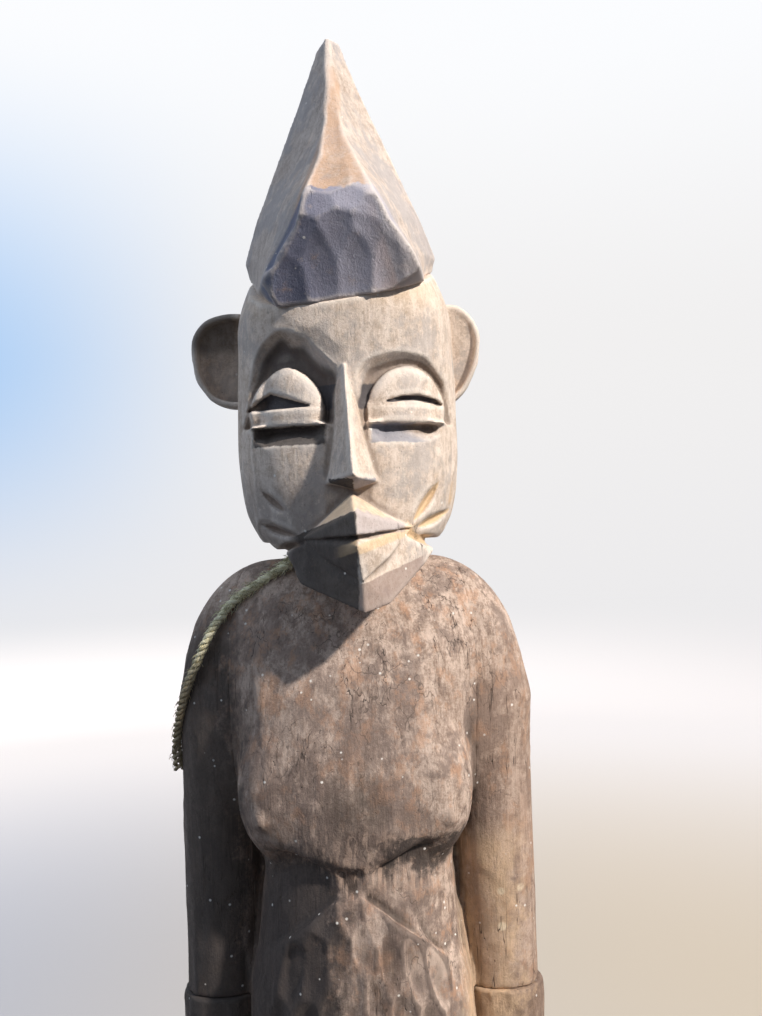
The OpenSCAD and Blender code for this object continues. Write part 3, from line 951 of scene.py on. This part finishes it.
class Recipe:
    """The nodes of a material or world, made in the order in which colours are laid."""

    def __init__(self, owner):
        self.owner = owner
        owner.use_nodes = True
        self.tree = owner.node_tree
        self.tree.nodes.clear()
        spots = self.node("ShaderNodeTexCoord").outputs
        self.place, self.generated = spots["Object"], spots["Generated"]
        self.across, self.ahead, self.height = self.node("ShaderNodeSeparateXYZ", {0: self.place}).outputs

    def node(self, kind, inputs=None, **settings):
        """A new node, with values or the sockets of other nodes in its inputs."""
        node = self.tree.nodes.new(kind)
        for key, value in settings.items():
            setattr(node, key, value)
        for key, value in (inputs or {}).items():
            self.feed(node.inputs[key], value)
        return node

    def feed(self, socket, value):
        if isinstance(value, bpy.types.NodeSocket):
            self.tree.links.new(value, socket)
        elif isinstance(value, tuple) and socket.type == "RGBA":
            socket.default_value = (*value, 1)
        else:
            socket.default_value = value

    def attribute(self, name):
        return self.node("ShaderNodeAttribute", attribute_name=name).outputs["Fac"]

    def noise(self, scale, stretch=(1, 1, 1), detail=3, rough=0.55, shift=0.0, warp=0.0):
        moved = self.node("ShaderNodeMapping", {"Vector": self.place, "Scale": stretch,
                                                "Location": (shift, shift * 0.7, shift * 1.3)})
        return self.node("ShaderNodeTexNoise", {"Vector": moved.outputs[0], "Scale": scale, "Detail": detail,
                                                "Roughness": rough, "Distortion": warp}).outputs["Fac"]

    def calc(self, operation, *values):
        return self.node("ShaderNodeMath", dict(enumerate(values)), operation=operation).outputs[0]

    def times(self, product, *factors):
        for factor in factors:
            product = self.calc("MULTIPLY", product, factor)
        return product

    def add(self, total, *layers):
        """A total with some (value, gain) layers on top."""
        for value, gain in layers:
            total = self.calc("MULTIPLY_ADD", value, gain, total)
        return total

    def swing(self, noise, reach):
        """A noise moved to swing about nought."""
        return self.times(self.calc("SUBTRACT", noise, 0.5), reach)

    def step(self, value, low, high, out_low=0.0, out_high=1.0):
        """Smooth step of a value from low to high."""
        return self.node("ShaderNodeMapRange", {"Value": value, "From Min": low, "From Max": high,
                                                "To Min": out_low, "To Max": out_high},
                         interpolation_type="SMOOTHSTEP").outputs[0]

    def level(self, height, low, high, *outs):
        """Smooth step between two heights in mm over the shoulder."""
        return self.step(height, (SHOULDER + low) * MM, (SHOULDER + high) * MM, *outs)

    def within(self, value, low, high, soft=0.4):
        """One between two places in mm, nought outside."""
        return self.times(self.step(value, (low - soft) * MM, (low + soft) * MM),
                          self.step(value, (high + soft) * MM, (high - soft) * MM))

    def lines(self, noise, thin, wide):
        """Thin winding lines, where a noise passes its middle."""
        return self.step(self.calc("ABSOLUTE", self.calc("SUBTRACT", noise, 0.5)), thin, wide, 1, 0)

    def flecks(self, scale, size, share):
        """Small round specks; share is how many of the cells have one."""
        cells = self.node("ShaderNodeTexVoronoi", {"Vector": self.place, "Scale": scale})
        tint = self.node("ShaderNodeSeparateColor", {0: cells.outputs["Color"]})
        return self.times(self.step(cells.outputs["Distance"], size * 0.6, size, 1, 0),
                          self.step(tint.outputs[0], 1 - share, 1 - share + 0.01))

    def mix(self, a, b, share):
        return self.node("ShaderNodeMix", {0: share, 6: a, 7: b}, data_type="RGBA").outputs[2]

    def paint(self, tint, share, *masks):
        """Lay a tint over the colour so far, where the masks let it through."""
        self.color = self.mix(self.color, tint, self.times(share, *masks))

    def finish(self, roughness, height, bump=0.0004, strength=0.6, specular=0.3):
        relief = self.node("ShaderNodeBump", {"Strength": strength, "Distance": bump, "Height": height})
        self.shader = self.node("ShaderNodeBsdfPrincipled", {
            "Base Color": self.color, "Roughness": roughness, "Specular IOR Level": specular,
            "Normal": relief.outputs[0]})
        self.node("ShaderNodeOutputMaterial", {"Surface": self.shader.outputs[0]})
        return self.owner


def wood(name, pale, deep, stain, dust, stain_share=0.35, dust_share=0.3, seed=0.0, grain=1.0,
         wear=(0.78, 0.7, 0.62), dirt=(0.05, 0.04, 0.035), crack_share=0.5, fleck_share=0.12,
         along=(1, 1, 0.05), wear_share=0.45, zones=None, marks_and_painted_light=None):
    """Weathered carved wood: grain, mottling, stain, dust, worn edges, dirt in the hollows,
    splits, pits and specks."""
    r = Recipe(bpy.data.materials.new(name))
    fine = r.noise(1500, along, detail=5, rough=0.65, shift=seed)
    streak = r.noise(420, (along[0], along[1], along[2] * 1.2), detail=4, shift=seed + 3, warp=0.15)
    speckle = r.noise(1300, detail=4, rough=0.7, shift=seed + 5)
    mottle = r.noise(300, (1, 1, 0.7), detail=6, rough=0.72, shift=seed + 6, warp=0.3)
    cloud = r.noise(48, detail=5, rough=0.62, shift=seed + 7)
    patch = r.noise(360, (1, 1, 0.5), detail=6, rough=0.78, shift=seed + 11)
    tone, hollow, broad = (r.attribute(n) for n in ("tone", "hollow", "broad"))
    depth = r.add(0.0, (fine, 0.5 * grain), (streak, 0.6 * grain), (speckle, 0.6), (mottle, 0.9))
    middle = 0.5 * (1.1 * grain + 1.5)
    r.color = r.mix(pale, deep, r.step(r.add(depth, (tone, -0.09)), middle - 0.2, middle + 0.3))
    stained = r.add(cloud, (mottle, 0.5))
    r.paint(stain, 0.72, r.step(stained, 0.88 - stain_share * 0.5, 1.04 - stain_share * 0.5))
    if zones:
        zones(r)
    r.paint(wear, wear_share, r.step(r.add(r.times(hollow, -1), (patch, 0.12)), 0.09, 0.26))
    dusty = r.add(patch, (speckle, 0.35))
    r.paint(dust, 0.5, r.step(dusty, 0.83 - dust_share * 0.3, 0.97 - dust_share * 0.3))
    r.paint(dirt, 0.66, r.step(r.add(hollow, (broad, 0.5)), 0.03, 0.28))
    # late marks: real stains and grain together with painted shade and highlights
    if marks_and_painted_light:
        marks_and_painted_light(r)
    gate = r.step(r.noise(40, detail=2, shift=seed + 23), 0.62 - crack_share * 0.25,
                  0.72 - crack_share * 0.25)
    crack = r.times(r.lines(r.noise(190, (1, 1, 0.07), detail=3, shift=seed + 17), 0.0012, 0.006), gate)
    r.paint((0.03, 0.022, 0.018), 0.75, crack)
    pit = r.step(r.noise(2100, detail=2, shift=seed + 31), 0.66, 0.74)
    r.paint(dirt, 0.6, pit)
    r.paint((0.9, 0.86, 0.8), 0.85, r.flecks(330, 0.17, fleck_share))
    height = r.add(0.0, (fine, 0.5 * grain), (streak, 0.5 * grain), (mottle, 0.9), (speckle, 0.5),
                   (crack, -1.1), (pit, -0.5))
    rough = r.step(depth, middle - 0.3, middle + 0.3, 0.62, 0.85)
    return r.finish(rough, height, bump=0.0005, strength=0.75)


def crest_zones(r):
    """Blue-black stain and painted shade on the lower front of the crest, a brown keel, painted shade on the
    right flank.
    """
    aside = r.calc("ABSOLUTE", r.across)
    # painted shade: the right flank is darkened as if turned from the key light
    flank = r.add(r.across, (r.noise(90, detail=4, shift=67), 0.012))
    r.paint((0.3, 0.29, 0.31), 0.22, r.step(flank, 0.008, 0.0))
    keel = r.step(r.add(aside, (r.height, 0.3)), (0.3 * PARTING + 16) * MM, (0.3 * PARTING + 14.2) * MM)
    keel = r.calc("MAXIMUM", keel, r.step(aside, 0.0026, 0.0016))
    weathered = r.step(r.noise(220, (1, 1, 0.6), detail=5, rough=0.7, shift=69), 0.32, 0.6, 0.35, 0.8)
    r.paint((0.58, 0.37, 0.24), weathered, keel, r.step(r.ahead, -0.008, -0.012))
    chipped = r.add(r.height, (r.noise(110, detail=4, rough=0.6, shift=73), 0.016))
    low = r.step(chipped, (PARTING + 26) * MM, (PARTING + 24.5) * MM)
    face = r.add(r.calc("ABSOLUTE", r.calc("SUBTRACT", r.across, 2 * MM)), (r.height, 0.6))
    face = r.step(face, (0.6 * PARTING + 20.8) * MM, (0.6 * PARTING + 19.4) * MM)
    ragged = r.step(r.noise(160, detail=5, rough=0.7, shift=61), 0.3, 0.45, 0.6, 1)
    faded = r.step(r.across, 0.02, 0.007, 0.4, 0.9)
    # blue-black stain with painted shade on the undercut lower front, darker on the right side, away from the
    # key light
    stain = r.mix((0.5, 0.5, 0.6), (0.13, 0.155, 0.245), r.step(r.across, 0.015, -0.014))
    r.paint(stain, low, r.step(r.ahead, -0.024, -0.034), face, ragged, faded)


def head_zones(r):
    """Painted shade on the right cheek, and dust under the crest."""
    # painted shade on the lower right cheek, where the nose's shadow falls and the cheek turns from the light
    r.paint((0.23, 0.205, 0.2), 0.62, r.step(r.across, -0.003, -0.012), r.level(r.height, 32, 16))
    high = r.step(r.height, (PARTING - 20) * MM, (PARTING - 9) * MM)
    r.paint((0.82, 0.62, 0.42), 0.5, high, r.step(r.ahead, -0.015, -0.03))


def head_stains_and_painted_light(r):
    """Painted shade on the right of the mouth and chin, under the nose and the lower lids, in the right
    socket, in the eye slits and on top of the right ear; painted highlights on the lit planes of the lips;
    bare ochre wood in the cuts of the left cheek."""
    wobble = r.swing(r.noise(300, detail=4, shift=91), 0.002)
    across, height = (r.calc("ADD", place, wobble) for place in (r.across, r.height))
    front, face, lip_front = (r.step(r.ahead, *ends) for ends in (
        (-0.028, -0.032), (-0.02, -0.024), (-0.036, -0.0385)))
    right, left = r.step(across, 0.0042, 0.0034), r.step(across, 0.0034, 0.0042)
    # heights that slope as the edges of the lips and jaw do
    slanting, rising, falling, jaw = (r.add(height, (across, slope)) for slope in (-0.38, -0.33, 0.35, -0.39))

    def tall(low, high, soft=0.4, value=height):
        return r.within(value, SHOULDER + low, SHOULDER + high, soft)

    def wide(low, high, soft=0.4):
        return r.within(across, low, high, soft)

    ochre, black = (0.8, 0.56, 0.31), (0.02, 0.018, 0.02)
    lips = tall(5, 20.4)
    # painted highlight on the lit upper plane of the upper lip, on the right
    r.paint(ochre, 0.5, lip_front, right, lips, wide(-13, 4), tall(14.2, 22, value=slanting))
    # painted shade on the right below the upper lip's edge: its lower facet, the mouth wall and the chin
    r.paint(black, 0.9, front, right, r.level(slanting, 14.4, 14))
    # painted highlight on the lit middle of the lower lip
    r.paint((0.72, 0.52, 0.32), 0.6, front, right, r.step(across, -0.004, 0.002),
            tall(2.4, 5.6, value=rising))
    # painted highlight on the lit plane of the lower lip, on the left
    r.paint(ochre, 0.6, front, left, tall(1.2, 4.2, value=rising))
    # painted highlight on the lit upper plane of the upper lip, on the left
    r.paint(ochre, 0.35, lip_front, left, tall(17.5, 23, value=falling), lips)
    r.paint((0.42, 0.37, 0.39), 0.6, front, left, tall(10, 17.5, value=falling), tall(8.6, 17), wide(3, 18))
    r.paint((0.3, 0.21, 0.18), 0.72, front, left, r.level(jaw, -7.8, -8.4))
    # painted shade under the nose: black on the right, blue-grey on the left
    under_nose = r.times(tall(20.4, 25, 0.2), r.step(r.ahead, -0.0375, -0.0385))
    r.paint(black, 0.92, under_nose, wide(-8, 3.2))
    r.paint((0.33, 0.33, 0.38), 0.75, under_nose, wide(3.2, 11))
    # painted shade under the lower lids, where the lid bands cast shadow: blue-grey at the left eye, black at
    # the right
    under_lid = tall(35.8, 41.6, 0.3)
    r.paint((0.27, 0.28, 0.33), 0.8, front, under_lid, wide(8.8, 29.8, 0.8))
    r.paint(black, 0.88, face, under_lid, wide(-28, -5, 0.8))
    hollow, broad = r.attribute("hollow"), r.attribute("broad")
    # painted shade in the right eye socket
    r.paint((0.035, 0.03, 0.034), 0.72, tall(42, 74, 2), r.step(broad, 0.0, 0.14), face,
            r.step(across, 0.001, -0.001))
    # painted shade in the eye slits
    r.paint((0.05, 0.05, 0.06), 0.85, tall(46.4, 54), r.step(hollow, 0.04, 0.12), face)
    # painted shadow of the rim on the upper half of the right ear
    r.paint(black, 0.6, r.step(across, -0.034, -0.0375), tall(70, 92, 3))
    r.paint((0.8, 0.57, 0.33), 0.7, r.step(hollow, 0.02, 0.07), wide(19, 40), tall(2, 26, 1))


def body_zones(r):
    """Rusty patches, a darker middle and lower half, hairline scratches."""
    rust = r.noise(130, (1, 1, 0.7), detail=6, rough=0.75, shift=53)
    r.paint((0.56, 0.31, 0.18), 0.5, r.step(rust, 0.5, 0.62))
    middle = r.step(r.across, 0.03, 0.008, 0.12, 1.0)
    mottle = r.step(r.noise(170, (1, 1, 0.5), detail=6, rough=0.75, shift=41), 0.36, 0.6)
    r.paint((0.16, 0.115, 0.095), 0.85, r.level(r.height, -18, -66, 0.15, 1.0), middle,
            r.add(0.3, (mottle, 0.6)))
    gate = r.step(r.noise(45, detail=2, shift=77), 0.46, 0.54)
    r.paint((0.07, 0.05, 0.04), 0.6, r.lines(r.noise(62, (1, 1, 0.6), detail=4, shift=71), 0.0015, 0.007),
            gate)


def body_stains_and_painted_shade(r):
    """Pale grain under the breasts, painted shade down the right arm, on the right of the lower body and in
    the fold under the left breast, ochre dust inside the left forearm."""
    ragged = r.swing(r.noise(120, detail=5, rough=0.7, shift=83), 0.03)
    across, height = (r.calc("ADD", place, ragged) for place in (r.across, r.height))
    r.paint((0.06, 0.045, 0.04), 0.55, r.level(r.height, -100, -110),
            r.step(r.attribute("hollow"), -0.03, -0.12))
    streak = r.step(r.noise(700, (1, 1, 0.06), detail=3, shift=87), 0.5, 0.58)
    r.paint((0.62, 0.45, 0.35), 0.45, r.level(height, -76, -86), r.level(height, -108, -98), streak)
    r.paint((0.3, 0.19, 0.13), 0.35, r.step(r.across, 0.036, 0.042), r.step(r.height, 0.268, 0.24))
    # painted shade down the right arm
    r.paint((0.04, 0.035, 0.033), 0.88, r.step(across, -0.033, -0.041), r.step(r.height, 0.28, 0.25))
    # painted shade on the right of the lower body, turned from the key light
    front = r.step(r.ahead, 0.002, -0.014)
    r.paint((0.035, 0.03, 0.03), 0.92, front, r.step(across, -0.001, -0.011), r.level(height, -85, -97))
    # painted shade in the fold under the left breast
    r.paint((0.045, 0.036, 0.033), 0.88, r.level(height, -84, -88), r.level(height, -98, -93),
            r.step(across, 0.004, 0.012), r.step(across, 0.037, 0.033), front)
    inner = r.times(r.step(across, 0.057, 0.048), r.step(r.across, 0.03, 0.036), r.level(r.height, -84, -100))
    worked = r.step(r.noise(90, (1, 1, 0.6), detail=5, rough=0.7, shift=97), 0.3, 0.62, 0.85, 0.35)
    r.paint((0.74, 0.52, 0.33), inner, worked)
    r.paint((0.85, 0.72, 0.52), 0.7, r.flecks(150, 0.3, 0.3), inner)


def fibre():
    r = Recipe(bpy.data.materials.new("plant_fibre"))
    run = r.noise(2600, shift=5)
    share = r.add(run, (r.attribute("tone"), 0.15))
    r.color = r.mix((0.46, 0.42, 0.22), (1.0, 0.95, 0.68), r.step(share, 0.28, 0.6))
    # painted shade on the lower part of the cord, which hangs down the shaded right arm
    r.paint((0.3, 0.19, 0.1), 0.7, r.step(r.height, 0.266, 0.238))
    return r.finish(0.85, run, bump=0.00025, strength=0.7, specular=0.2)


def dowel():
    r = Recipe(bpy.data.materials.new("split_hardwood"))
    grain = r.noise(1300, (1, 1, 0.06), detail=5, rough=0.6, shift=2)
    band = r.noise(500, (1, 1, 0.05), detail=2, shift=9)
    share = r.add(0.0, (grain, 0.6), (band, 0.5))
    r.color = r.mix((0.66, 0.5, 0.3), (0.4, 0.27, 0.14), r.step(share, 0.4, 0.75))
    return r.finish(0.6, grain, bump=0.0002, strength=0.5)


HEAD_WOOD = wood("head_wood", (0.82, 0.7, 0.6), (0.47, 0.35, 0.25), (0.5, 0.45, 0.42), (0.88, 0.78, 0.67),
                 stain_share=0.3, dust_share=0.4, seed=0.0, wear=(0.92, 0.83, 0.74), dirt=(0.16, 0.11, 0.08),
                 grain=0.45, crack_share=0.0, fleck_share=0.06, zones=head_zones, marks_and_painted_light=head_stains_and_painted_light)
CREST_WOOD = wood("crest_wood", (0.72, 0.62, 0.54), (0.42, 0.32, 0.25), (0.45, 0.42, 0.42),
                  (0.84, 0.74, 0.65), stain_share=0.35, dust_share=0.2, seed=1.7, wear=(0.9, 0.8, 0.72),
                  dirt=(0.1, 0.08, 0.075), grain=0.6, crack_share=0.0, fleck_share=0.05, zones=crest_zones)
BODY = dict(pale=(0.64, 0.5, 0.41), deep=(0.25, 0.17, 0.125), stain=(0.21, 0.155, 0.13),
            dust=(0.78, 0.66, 0.56), stain_share=0.4, dust_share=0.1, seed=3.1, grain=0.9,
            wear=(0.34, 0.25, 0.2), dirt=(0.035, 0.026, 0.02), crack_share=0.5, fleck_share=0.16,
            wear_share=0.4, zones=body_zones, marks_and_painted_light=body_stains_and_painted_shade)
TORSO_WOOD = wood("torso_wood", **BODY)
ARM_WOOD = wood("arm_wood", **BODY)
CUFF_WOOD = wood("cuff_wood", (0.42, 0.32, 0.25), (0.16, 0.11, 0.085), (0.12, 0.085, 0.07),
                 (0.5, 0.4, 0.32), stain_share=0.5, dust_share=0.1, seed=6.3, wear=(0.42, 0.33, 0.27),
                 dirt=(0.025, 0.02, 0.017), crack_share=0.4, wear_share=0.3, marks_and_painted_light=body_stains_and_painted_shade)
BASE_WOOD = wood("base_wood", (0.42, 0.34, 0.28), (0.2, 0.155, 0.125), (0.14, 0.11, 0.09), (0.52, 0.44, 0.37),
                 stain_share=0.55, dust_share=0.3, seed=8.9, along=(0.05, 1, 1), wear=(0.6, 0.5, 0.42),
                 dirt=(0.03, 0.025, 0.02), crack_share=0.6)
FIBRE = fibre()
DOWEL = dowel()

# ---------------------------------------------------------------- pieces

wooden("carved_head", carve_head(), ["head"], HEAD_WOOD)
wooden("carved_crest", carve_crest(), ["crest"], CREST_WOOD)
body = carve_body()
wooden("carved_torso", parted(body, torso_cut(body)), ["torso"], TORSO_WOOD, whole=body.d)
for side, word in SIDES.items():
    arm = parted(body, arm_cut(body, side))
    wooden(f"carved_{word}_arm", arm, [f"{word}_arm"], ARM_WOOD, whole=body.d)
wooden("carved_base", carve_base(), ["base"], BASE_WOOD)
for side, word in SIDES.items():
    wooden(f"carved_{word}_ear", carve_ear(side), [f"{word}_ear"], HEAD_WOOD)
    wooden(f"carved_{word}_cuff", carve_cuff(side), [f"{word}_cuff"], CUFF_WOOD)
    wooden(f"carved_{word}_hand", carve_hand(side), [f"{word}_hand"], ARM_WOOD)
    leg = carve_leg(side)
    hips = np.maximum(body_form(leg), HIP - leg.z)
    wooden(f"carved_{word}_leg", leg, [f"{word}_leg"], TORSO_WOOD, whole=np.minimum(leg.form, hips))
add_neck_cord(FIBRE)
add_tail(FIBRE)
for node in ("neck_dowel", "shoulder_dowels", "hip_dowels", "foot_dowels", "crest_dowels"):
    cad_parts[node].data.materials.clear()
    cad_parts[node].data.materials.append(DOWEL)

# ---------------------------------------------------------------- studio


def add_sweep():
    """Pale floor that sweeps up all round into a pale wall."""
    profile = [(0.0, 0.0), (0.6, 0.0), (1.2, 0.0)]
    for n in range(1, 13):
        angle = n / 12 * math.pi / 2
        profile.append((1.2 + 0.5 * math.sin(angle), 0.5 - 0.5 * math.cos(angle)))
    profile.append((1.7, 3.0))
    turns = 96
    verts = [(radius * math.cos(2 * math.pi * k / turns), radius * math.sin(2 * math.pi * k / turns), height)
             for radius, height in profile[1:] for k in range(turns)]
    verts.append((0, 0, 0))
    faces = [(k, (k + 1) % turns, len(verts) - 1) for k in range(turns)]
    for ring in range(len(profile) - 2):
        for k in range(turns):
            after = (k + 1) % turns
            low, high = ring * turns, (ring + 1) * turns
            faces.append((low + k, high + k, high + after, low + after))
    mesh = bpy.data.meshes.new("studio_sweep")
    mesh.from_pydata(verts, [], faces)
    mesh.polygons.foreach_set("use_smooth", np.ones(len(faces), bool))
    sweep = add_object("studio_sweep", mesh)
    r = Recipe(bpy.data.materials.new("studio_paper"))
    floor = r.mix((0.62, 0.55, 0.45), (0.41, 0.45, 0.53), r.step(r.across, 0.25, -0.45))
    out = r.calc("SQRT", r.add(r.times(r.across, r.across), (r.ahead, r.ahead)))
    floor = r.mix(floor, (0.84, 0.83, 0.84), r.step(out, 0.35, 1.2))
    bluish = r.times(r.step(r.across, -0.12, -0.8), r.step(r.ahead, 0.7, 1.2))
    wall = r.mix((0.88, 0.87, 0.87), (0.4, 0.62, 0.93), bluish)
    wall = r.mix(wall, (0.97, 0.98, 1.0), r.step(r.height, 0.55, 1.2))
    up = r.step(r.height, 0.0, 0.14)
    r.color = r.mix(floor, (0, 0, 0), up)
    paper = r.finish(0.9, r.noise(2.2, detail=1), bump=0.0001, strength=0.1, specular=0.0)
    r.feed(r.shader.inputs["Emission Color"], r.mix(floor, wall, r.step(r.height, 0.02, 0.6)))
    r.feed(r.shader.inputs["Emission Strength"], up)
    mesh.materials.append(paper)
    sweep.visible_diffuse = False
    sweep.visible_shadow = False


def add_light(name, kind, energy, color, place, towards, **settings):
    data = bpy.data.lights.new(name, kind)
    data.energy = energy
    data.color = color
    for key, value in settings.items():
        setattr(data, key, value)
    light = add_object(name, data)
    light.location = place
    light.rotation_euler = (Vector(towards) - Vector(place)).to_track_quat("-Z", "Y").to_euler()


add_sweep()
add_light("key", "SUN", 4.9, (1.0, 0.93, 0.86), (1.4, -1.0, 1.6), (0, 0, 0.3), angle=math.radians(3))
add_light("sky_fill", "AREA", 3.0, (0.66, 0.8, 1.0), (-0.9, -0.35, 0.9), (0, 0, 0.3), size=0.7)
r = Recipe(bpy.data.worlds.new("soft_studio"))
upward = r.node("ShaderNodeSeparateXYZ", {0: r.generated}).outputs["Z"]
glow = r.node("ShaderNodeMapRange", {"Value": upward, "From Min": -0.5, "From Max": 0.3, "To Min": 0.04,
                                     "To Max": 0.24})
backing = r.node("ShaderNodeBackground", {"Color": (0.7, 0.8, 1.0), "Strength": glow.outputs[0]})
shown = r.node("ShaderNodeBackground", {"Color": (0.86, 0.89, 0.94)})
eye = r.node("ShaderNodeLightPath").outputs["Is Camera Ray"]
either = r.node("ShaderNodeMixShader", {0: eye, 1: backing.outputs[0], 2: shown.outputs[0]})
r.node("ShaderNodeOutputWorld", {"Surface": either.outputs[0]})
scene = bpy.context.scene
scene.world = r.owner
scene.view_settings.view_transform = "Standard"
